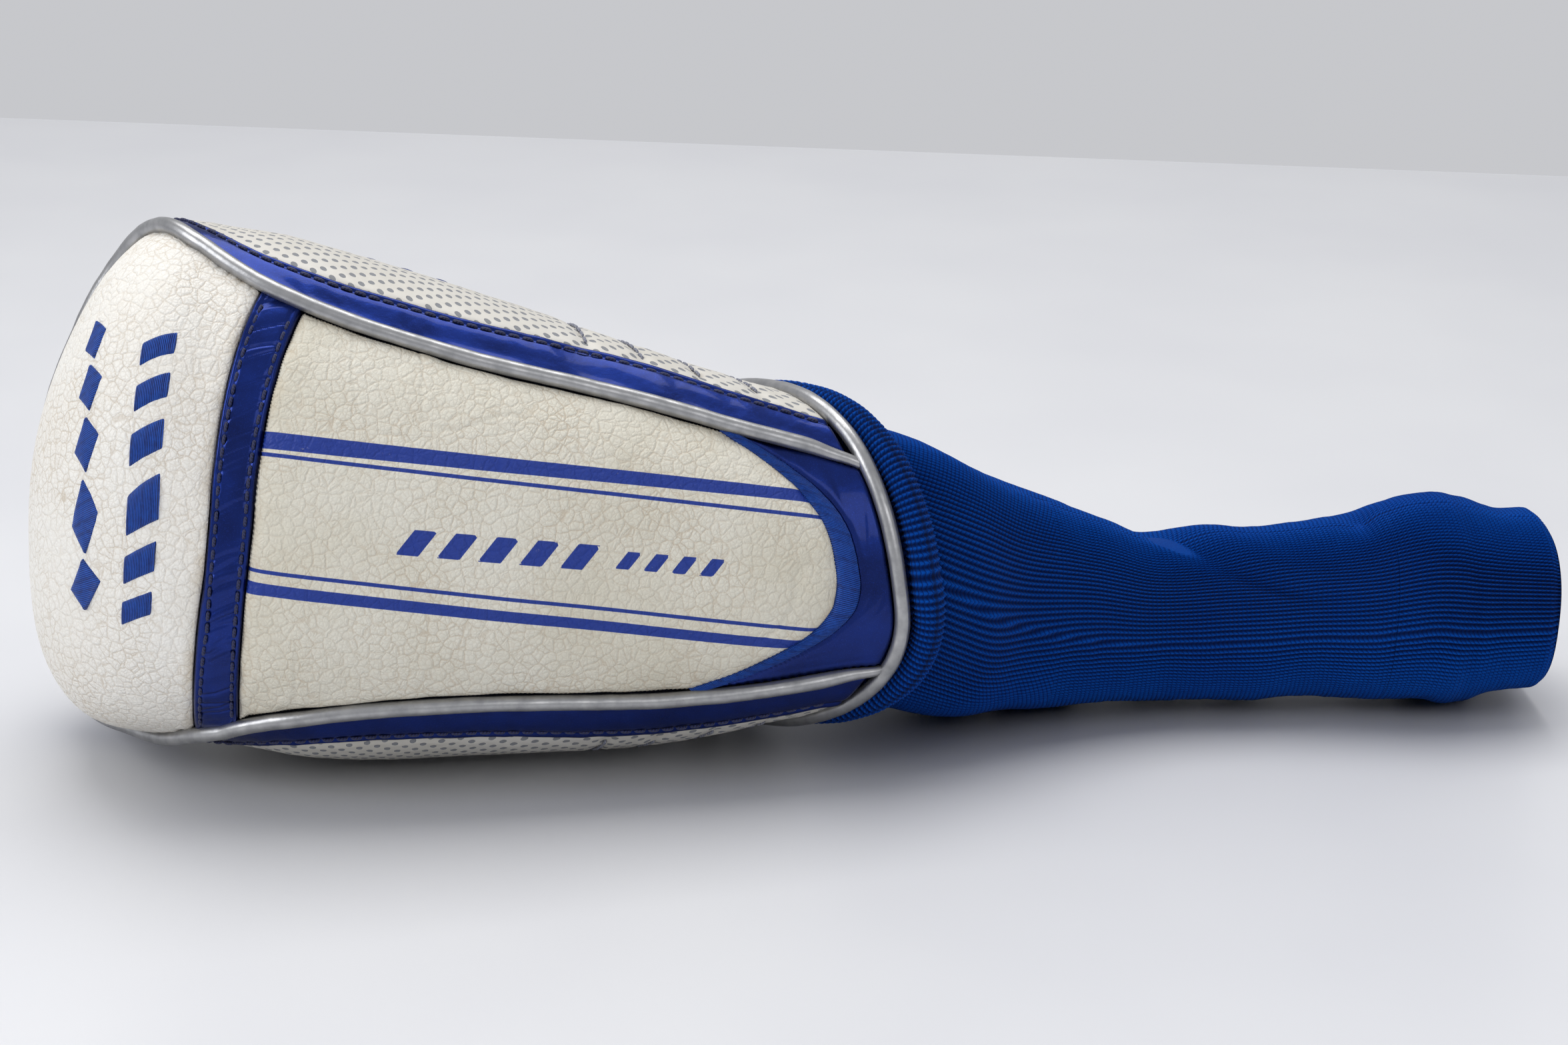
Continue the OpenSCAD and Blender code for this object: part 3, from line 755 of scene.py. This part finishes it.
def toe_places(rows, columns):
    """Places from the cross band to the toe's edge, ruled straight in the plane of (a cos v, a sin v)."""
    w = np.linspace(-1, 1, columns)
    a0 = band_line(w) - BAND_WIDTH / 2 - GAP
    v0 = np.radians(w * side_angle(a0, -SNUG))
    first = (MOUTH - a0[-1]) / (MOUTH - CORNER)
    last = 4 - (MOUTH - a0[0]) / (MOUTH - CORNER)
    edge_at = rim(mix(last, first, (w + 1) / 2), np.full(columns, -SNUG))
    a1, v1 = edge_at[:, 0], np.radians(edge_at[:, 1])
    f = np.linspace(0, 1, rows)[:, None]
    x = mix(a0 * np.cos(v0), a1 * np.cos(v1), f)
    y = mix(a0 * np.sin(v0), a1 * np.sin(v1), f)
    return np.hypot(x, y), np.degrees(np.arctan2(y, x))


a, v = toe_places(count(190), count(270))
toe_pad = pad("toe_leather", a, v, 0 * a, leather_toe, 11)
done(toe_pad, "shell", "white_leather", "crown_toe_panel")

a, v, f, w = crown_places(lambda w: band_line(w) + BAND_WIDTH / 2 + GAP, panel_end, count(230), count(230))
puff = CROWN_PUFF * np.sin(np.pi * f) ** 0.5 * np.sqrt(1 - w * w)
crown_pad = pad("crown_leather", a, v, puff, leather_main, 12, printed=True)
done(crown_pad, "shell", "white_leather", "crown_main_panel")

# ---------------------------------------------------------------- the perforated sole

GATHERS = [MOUTH - 12 - 12 * i for i in range(4)]


def sole_places(last, share, rows, columns):
    t = np.linspace(0, 1, rows) ** 0.85
    p = rim(mix(1.96, (MOUTH - last) / (MOUTH - CORNER), t), np.full(rows, share))
    w = np.linspace(0, 1, columns)[None, :]
    return p[:, :1] + 0 * w, mix(p[:, 1:], 360 - p[:, 1:], w)


def gathered(a, points):
    """How deep the sole sinks along its gathers, with crimps across them."""
    sink = 0.0
    crimp = value_noise(points * [0.35, 1, 1], 3.4, 61)
    for at in GATHERS:
        near = np.abs(a - at)
        sink = sink + 0.75 * np.exp(-(near / 1.6) ** 2) + 0.55 * crimp * np.exp(-near / 3.2)
    return sink


a, v = sole_places(MOUTH - 1.4, 1.03, count(250), count(330))
base = place(a, v)
out = outward(a, v)
distance = edge_distance(base)
across = lengths(base, 1)
across = across - across[:, across.shape[1] // 2, None]
HOLE_PITCH = 2.9
p = (a + across) / (math.sqrt(2) * HOLE_PITCH)
q = (a - across) / (math.sqrt(2) * HOLE_PITCH)
from_hole = np.hypot(p - np.floor(p) - 0.5, q - np.floor(q) - 0.5) * HOLE_PITCH
lift = (0.10 * value_noise(base, 2.2, 62) + 0.5 * value_noise(base, 19, 63) * np.clip(distance / 10, 0, 1)
        - gathered(a, base) - rolled(distance, 2.4, 1.0) - 0.12 * smooth(from_hole, 0.85, 0.6))
outer = keep_up(base + out * lift[..., None])
loops = under(outer, place(a, v, LEATHER + 0.4))


# the sole turns darker brown along its sunken gathers, and in small spots elsewhere
grain_and_gathers = 0.3 + 0.2 * value_noise(base, 3.0, 64) - 0.25 * np.clip(gathered(a, base), 0, 1)
sole = solid("sole_leather", loops, perforated,
             {"dot_p": widen(p, 0, loops), "dot_q": widen(q, 0, loops),
              "grain": widen(grain_and_gathers, 0.3, loops)})
done(sole, "shell", "perforated_leather", "sole_panel")

# ---------------------------------------------------------------- patent bands


def strip(name, a, v, lift, material, nodes, slot="patent_blue", attributes=None, thickness=LEATHER + 0.2):
    base = place(a, v)
    outer = keep_up(base + outward(a, v) * lift[..., None])
    loops = under(outer, place(a, v, thickness))
    full = {k: widen(values, 0, loops) for k, values in (attributes or {}).items()}
    return done(solid(name, loops, material, full), "shell", slot, *nodes)


def wrinkles(points, long_axis, pitch, seed):
    """Short creases across a band whose length runs along the given grid axis."""
    run = lengths(points, long_axis)
    wave = np.stack([run / pitch, 0 * run, 0 * run], -1) + 0.25 * points / pitch
    return value_noise(wave, 1.0, seed) + 0.5 * value_noise(wave * 2.3, 1.0, seed + 1)


a, v, f, w = crown_places(lambda w: band_line(w) - BAND_WIDTH / 2, lambda w: band_line(w) + BAND_WIDTH / 2,
                          30, count(320))
base = place(a, v)
from_side = np.minimum(f, 1 - f) * BAND_WIDTH
lift = (0.30 - rolled(from_side, 0.9, 0.8) - 0.28 * np.exp(-((from_side - 1.3) / 0.35) ** 2)
        + 0.20 * wrinkles(base, 1, 3.4, 71) * smooth(from_side, 0.4, 2.0)
        - 0.30 * np.exp(-(wrinkles(base, 1, 4.2, 87) / 0.10) ** 2) * smooth(from_side, 0.2, 1.6))
strip("cross_band_patent", a, v, lift, patent, ["cross_band"])


GUSSET_STITCH = 0.82  # share of the gusset's width at which its stitches run


def gusset(name, b0, b1, node, seed):
    b = np.linspace(b0, b1, count(520))[:, None] * np.ones(30)
    f = np.linspace(SNUG, 1, 30)[None, :] * np.ones((len(b), 1))
    p = rim(b, f)
    a, v = p[..., 0], p[..., 1]
    base = place(a, v)
    wide = np.linalg.norm(base[:, -1] - base[:, 0], axis=-1)[:, None]
    low, high = (f - SNUG) / (1 - SNUG) * wide, (1 - f) / (1 - SNUG) * wide
    stitch = (1 - GUSSET_STITCH) / (1 - SNUG) * wide
    lip = 0.55 * smooth(low, 2, wide * 0.75) + 0.25 * np.exp(-((high - 0.9) / 0.8) ** 2)
    lift = (lip - rolled(low, 1.6, 0.9) - rolled(high, 0.9, 1.1)
            - 0.30 * np.exp(-((high - stitch) / 0.4) ** 2)
            + 0.16 * wrinkles(base, 0, 5.5, seed) * smooth(low, 0.5, 3)
            + 0.3 * value_noise(base, 17, seed + 5))
    strip(name, a, v, lift, patent, [node])


gusset("upper_gusset_patent", 0.02, 1.998, "upper_gusset_band", 73)
gusset("lower_gusset_patent", 2.002, 3.98, "lower_gusset_band", 76)

a, v, f, w = crown_places(lambda w: panel_end(w) + 2 * GAP + BORDER_WIDTH, lambda w: MOUTH - 1.2 + 0 * w,
                          40, count(240))
base = place(a, v)
distance = edge_distance(base)
lift = (0.2 - rolled(distance, 1.6, 1.0) + 0.14 * wrinkles(base, 1, 6.0, 81) * np.clip(distance / 2, 0, 1)
        + 0.25 * value_noise(base, 9, 83))
strip("throat_patent", a, v, lift, patent, ["throat_panel"])

# ---------------------------------------------------------------- embroidery

STITCH_PITCH = 0.42

a, v, f, w = crown_places(lambda w: panel_end(w) - 0.25,
                          lambda w: panel_end(w) + 2 * GAP + BORDER_WIDTH + 0.1, 16, count(1300))
base = place(a, v)
run = lengths(base[8])[None, :] + 0 * f
row = (run + 1.2 * f) / STITCH_PITCH
ridge = np.abs(np.sin(np.pi * row))
lift = (0.95 * np.sin(np.pi * np.clip(f, 0.0, 1)) ** 0.45 - 0.35 + 0.09 * ridge
        + 0.12 * value_noise(base, 1.3, 91))
strip("embroidered_border_satin", a, v, lift, satin, ["embroidered_border"], "embroidery",
      {"threads": row}, 1.1)


SATIN_RISE = 0.75


def satin_patch(lines):
    """Loops and threads of a raised patch between two lines of (a, v); threads run from line to line."""
    first, second = [np.array(line, float) for line in lines]
    n = 90
    t = np.linspace(0, 1, n)
    keys = np.linspace(0, 1, len(first))
    one = np.stack([np.interp(t, keys, first[:, k]) for k in (0, 1)], -1)
    two = np.stack([np.interp(t, keys, second[:, k]) for k in (0, 1)], -1)
    s = np.linspace(0, 1, 14)[None, :]
    a = mix(one[:, :1], two[:, :1], s)
    v = mix(one[:, 1:], two[:, 1:], s)
    base = place(a, v)
    run = lengths(base[:, 7])[:, None] + 0 * s
    ends = np.minimum(run, run[-1] - run)
    row = run / STITCH_PITCH
    ridge = np.abs(np.sin(np.pi * row))
    bulge = np.sin(np.pi * np.clip(s, 0, 1)) ** 0.4 * np.clip(ends / 0.5, 0, 1) ** 0.5
    outer = base + outward(a, v) * (SATIN_RISE * bulge - 0.15 + 0.07 * ridge * bulge)[..., None]
    loops = under(outer, place(a, v, 0.5))
    return loops, widen(row, 0, loops)


def satin_piece(name, patches, nodes=()):
    made = [satin_patch(p) for p in patches]
    piece = solid(name, [m[0] for m in made], satin, {"threads": [m[1] for m in made]})
    return done(piece, "shell", "embroidery", *nodes)


column = []
for i in range(6):
    low = -25.5 + 9.7 * i
    back = 1.1 * i
    column.append(([(52.2 + back, low), (59.0 + back, low + 2.2)],
                   [(52.8 + back, low + 6.0), (59.6 + back, low + 8.2)]))
satin_piece("toe_embroidery_column", column, ["toe_embroidery"])

diamonds = []
for i in range(5):
    at, middle, size = 43.2 + 0.9 * i, -14 + 13.2 * i, 4.6 - 0.35 * i
    diamonds.append(([(at, middle - 6.2), (at - size, middle), (at, middle + 6.2)],
                     [(at + 0.1, middle - 6.2), (at + size, middle), (at + 0.1, middle + 6.2)]))
satin_piece("toe_embroidery_diamonds", diamonds)

sole_bars = [([(98 + 8 * i, 96), (98.8 + 8 * i, 106)], [(102.2 + 8 * i, 96), (103 + 8 * i, 106)])
             for i in range(3)]
satin_piece("sole_embroidery_bars", sole_bars, ["sole_embroidery"])

# ---------------------------------------------------------------- piping


def piping(name, a, v, node, ring=False, taper=0.0):
    path = place(a, v, -0.95)
    out = outward(a, v)
    wobble = 0.10 * value_noise(path, 9, 101) + 0.06 * value_noise(path, 2.5, 102)
    path = path + out * wobble[:, None]
    radius = (PIPING + 0.1) * (1 + 0.03 * value_noise(path, 5, 103))
    if taper:
        run = lengths(path)
        whole = smooth(np.minimum(run, run[-1] - run), 0, taper)
        radius = radius * mix(0.66, 1.0, whole)
        path = path - out * (1 - whole[:, None]) * 0.9
    grid = keep_up(tube(path, out, radius[:, None], 24, ring), ON_TABLE)
    done(solid(name, grid, silver, ring=ring), "shell", "silver_piping", node)


p = rim(np.linspace(0.004, 3.996, count(900)), np.zeros(count(900)))
piping("crown_piping_vinyl", p[:, 0], p[:, 1], "crown_piping", taper=16)
v = 180 + 360 * np.arange(count(500)) / count(500)
piping("mouth_piping_vinyl", np.full(len(v), MOUTH), v, "mouth_piping", ring=True)

# ---------------------------------------------------------------- stitches


STITCH_SHARE = 0.84  # share of the pitch that a stitch covers


def stitch_row(a, v, pitch, lift):
    """Grids of the separate stitches along a row of places."""
    path = place(a, v)
    out = outward(a, v)
    run = lengths(path)
    grids = []
    for k in range(int(run[-1] / pitch)):
        at = (k + 0.5 + STITCH_SHARE * (np.linspace(0, 1, 8) - 0.5)) * pitch
        line = np.stack([np.interp(at, run, path[:, c]) for c in range(3)], -1)
        facing = np.stack([np.interp(at, run, out[:, c]) for c in range(3)], -1)
        t = np.linspace(-1, 1, 8)
        line = line + facing * (lift - 0.5 * t[:, None] ** 4)
        radius = THREAD * np.sqrt(np.clip(1.02 - np.abs(t) ** 5, 0.05, 1))
        grids.append(keep_up(tube(line, facing, radius[:, None], 8), ON_TABLE))
    return grids


def stitches(name, rows, nodes, material=navy_thread):
    grids = [g for row in rows for g in row]
    along = [np.linspace(0, 2.6, 8)[:, None] + np.zeros((1, 8)) for _ in grids]
    around = [np.zeros((8, 1)) + np.linspace(0, 5.5, 8)[None, :] for _ in grids]
    piece = solid(name, grids, material, {"along": along, "around": around})
    done(piece, "shell", "thread", *nodes)


w = np.linspace(-0.97, 0.97, 300)
rows = []
for side in (-1, 1):
    a = band_line(w) + side * (BAND_WIDTH / 2 - 1.3)
    rows.append(stitch_row(a, w * side_angle(a, -SEAM), 2.7, 0.3))
stitches("cross_band_stitches", rows, ["cross_band_threads"])

rows = []
for b0, b1 in ((0.03, 1.98), (2.02, 3.97)):
    p = rim(np.linspace(b0, b1, 600), np.full(600, GUSSET_STITCH))
    rows.append(stitch_row(p[:, 0], p[:, 1], 3.1, 0.62))
stitches("gusset_stitches", rows, ["gusset_threads"])

v = np.linspace(64, 296, 400)
rows = [stitch_row(np.full(400, float(at)), v, 3.3, -0.25) for at in GATHERS]
stitches("gather_stitches", rows, ["gather_threads"], grey_thread)

# ---------------------------------------------------------------- the knit

WALES = 132
SIDES = 6 * WALES
RIB = 0.62
COURSE = 1.05
BODY_START = NECK_END - MIDDLE_X
END_ROWS = 0.0009
CUFF_GAP = 0.12  # keeps the cuff's knit off the gathered knit next to it


def ribs(columns, number):
    """Place of each column across its rib, 0 on the crest and 0.5 in the valley, and the valley's depth."""
    steps = columns // number
    arm = np.abs(np.arange(columns) % steps / steps - 0.5)
    return arm, np.cos(np.pi * (0.5 - arm)) ** 0.8


def stocking(name, places, depth, rib, shape, hem=None):
    """A tube of ribbed knit over grids of places (s, v), where s is the distance from the toe's end."""
    s, v = places
    a = s + TO_ARC
    base = place(a, v)
    from_end = np.minimum(s - s[0], s[-1] - s)
    out = outward(a, v) * np.stack([smooth(from_end, 0, 4), 1 + 0 * s, 1 + 0 * s], -1)
    arm, valley = [values + 0 * s for values in ribs(v.shape[1], WALES)]
    lift = rib * (0.5 - valley) + 0.10 * value_noise(base, 2.2, 111)
    lift = lift + shape(s, v, base)
    outer = base + out * lift[..., None]
    keep_up(outer, ON_TABLE)
    course = lengths(base, 0) / COURSE
    rows = np.linspace(len(s) - 1, 0, 5).astype(int)
    inner = place(a[rows], v[rows], depth)
    if hem is not None:
        inner = np.concatenate([place(a[-1:] + hem, v[-1:], depth * 0.45), inner])
    grid = np.concatenate([outer, inner])
    k = len(inner)

    def both(values, rest):
        return np.concatenate([values, np.full((k, s.shape[1]), float(rest))])

    return solid(name, grid, knit, {"arm": both(arm, 0.25), "course": both(course, 0),
                                    "valley": both(valley, 0.6)}, ring=True)


def drift(s):
    """The wales turn as they run from the mouth into the sock, in degrees."""
    return 24 * smooth(s, NECK_START, 262)


def end_row(x, v_base, s_guess):
    """Places s on each wale at which the knit reaches the plane at x."""
    s = np.full(len(v_base), float(s_guess))
    for _ in range(12):
        s = s + (x - place(s + TO_ARC, v_base + drift(s))[:, 0])
    return s


def row_shares(n):
    """Shares along a tube, with one row close to each end that keeps its shading straight."""
    return np.sort(np.concatenate([np.linspace(0, 1, n), [END_ROWS, 1 - END_ROWS]]))[:, None]


v_base = 200 + 360 * np.arange(SIDES) / SIDES
middle = end_row(BODY_START, v_base, NECK_END)
s = mix(NECK_START + 0 * middle, middle, row_shares(count(64)))


def neck_shape(s, v, base):
    fold = value_noise(np.stack([s * 0.35, v * 0.12, 0 * s], -1), 4.0, 121)
    fade = smooth(s, 180, 196) * (1 - smooth(s, 218, 231))
    return 0.5 * fold * fade + 0.35 * value_noise(base, 12, 122)


neck = stocking("sock_neck_knit", (s, v_base[None, :] + drift(s)), KNIT, RIB, neck_shape)
done(neck, None, "knit", "sock_neck")

FOLD = [(254, 42.0), (261, 31.4), (272, 19.5), (283, 12.0), (292, 8.0)]


def body_shape(s, v, base):
    """Creases of the sagging sock: one long fold across it and shallow slack ones."""
    turned = (v + 180) % 360 - 180
    girth = turned * 0.345
    fold_s = np.array([p[0] for p in FOLD])
    fold_g = np.array([p[1] for p in FOLD])
    off = (s - np.interp(girth, fold_g[::-1], fold_s[::-1])) * 0.66
    gate = smooth(girth, 2, 10) * (1 - smooth(girth, 36, 46))
    crease = (-1.7 * np.exp(-(off / 3.2) ** 2) + np.exp(-((off - 7.5) / 5.0) ** 2)
              - 0.5 * np.exp(-((off + 8) / 6) ** 2))
    pucker = -1.6 * np.exp(-(((s - 307) / 4.5) ** 2 + ((girth - 31) / 7) ** 2))
    slack = 0.7 * value_noise(np.stack([s * 0.8, girth * 0.35, 0 * s], -1), 9.0, 131)
    ends = smooth(s, NECK_END, NECK_END + 8) * (1 - smooth(s, CUFF_START - 5, CUFF_START))
    return (crease * gate + pucker + slack) * ends + 0.35 * value_noise(base, 12, 122)


last = end_row(CUFF_START - MIDDLE_X, v_base, CUFF_START)
s = mix(middle, last, row_shares(count(92)))
body = stocking("sock_body_knit", (s, v_base[None, :] + drift(s)), KNIT, RIB, body_shape)
done(body, "sock", "knit", "sock_body")


def cuff_shape(s, v, base):
    turned = (v + 180) % 360 - 180
    ends = smooth(s, CUFF_START, CUFF_START + 6)
    band = -0.5 * np.exp(-((s - 331) / 2.2) ** 2)
    slack = 0.5 * value_noise(np.stack([s, turned * 0.25, 0 * s], -1), 9.0, 141)
    return (band + slack) * ends + 0.35 * value_noise(base, 12, 122) - 1.3 * smooth(s, 348.5, 351) ** 2


s = mix(last + CUFF_GAP, CUFF_END + 1.0, row_shares(count(46)))
rib = RIB + 0.5 * smooth(s, CUFF_START, CUFF_START + 16)
cuff = stocking("sock_cuff_knit", (s, v_base[None, :] + drift(s)), KNIT, rib, cuff_shape, hem=0.35)
done(cuff, "cuff", "knit", "sock_cuff")

# the rolled collar, ribbed across
RIBS = 168
n = RIBS * 6
v = 180 + 360 * np.arange(n) / n
a = np.full(n, SHELL_LENGTH + 6.2 + TO_ARC)
path = place(a, v, -COLLAR - 0.6)
arm, valley = ribs(n, RIBS)
sides = 26
turn = 2 * np.pi * np.arange(sides) / sides
radius = (COLLAR + 0.25 - 0.55 * valley + 0.16 * value_noise(path, 6, 151))[:, None] * np.ones((1, sides))
grid = keep_up(tube(path, outward(a, v), radius, sides, True), ON_TABLE)
collar = solid("collar_knit", grid, knit,
               {"arm": arm[:, None] + 0 * radius, "valley": valley[:, None] + 0 * radius,
                "course": turn[None, :] * COLLAR / COURSE + 0 * radius}, ring=True)
done(collar, "shell", "knit", "knit_collar")

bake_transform(neck)
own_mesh(body)

# ---------------------------------------------------------------- the pieces that the CAD model keeps

KEPT = {"crown_piping_cord": filler, "mouth_piping_cord": filler, "gather_elastics": elastic,
        "collar_elastic": elastic, "cuff_elastic": elastic, "toe_foam": foam_grey, "crown_foam": foam_grey,
        "sole_foam": foam_grey, "fleece_lining": fleece}
for node, material in KEPT.items():
    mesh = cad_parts[node].data
    mesh.materials.clear()
    mesh.materials.append(material)
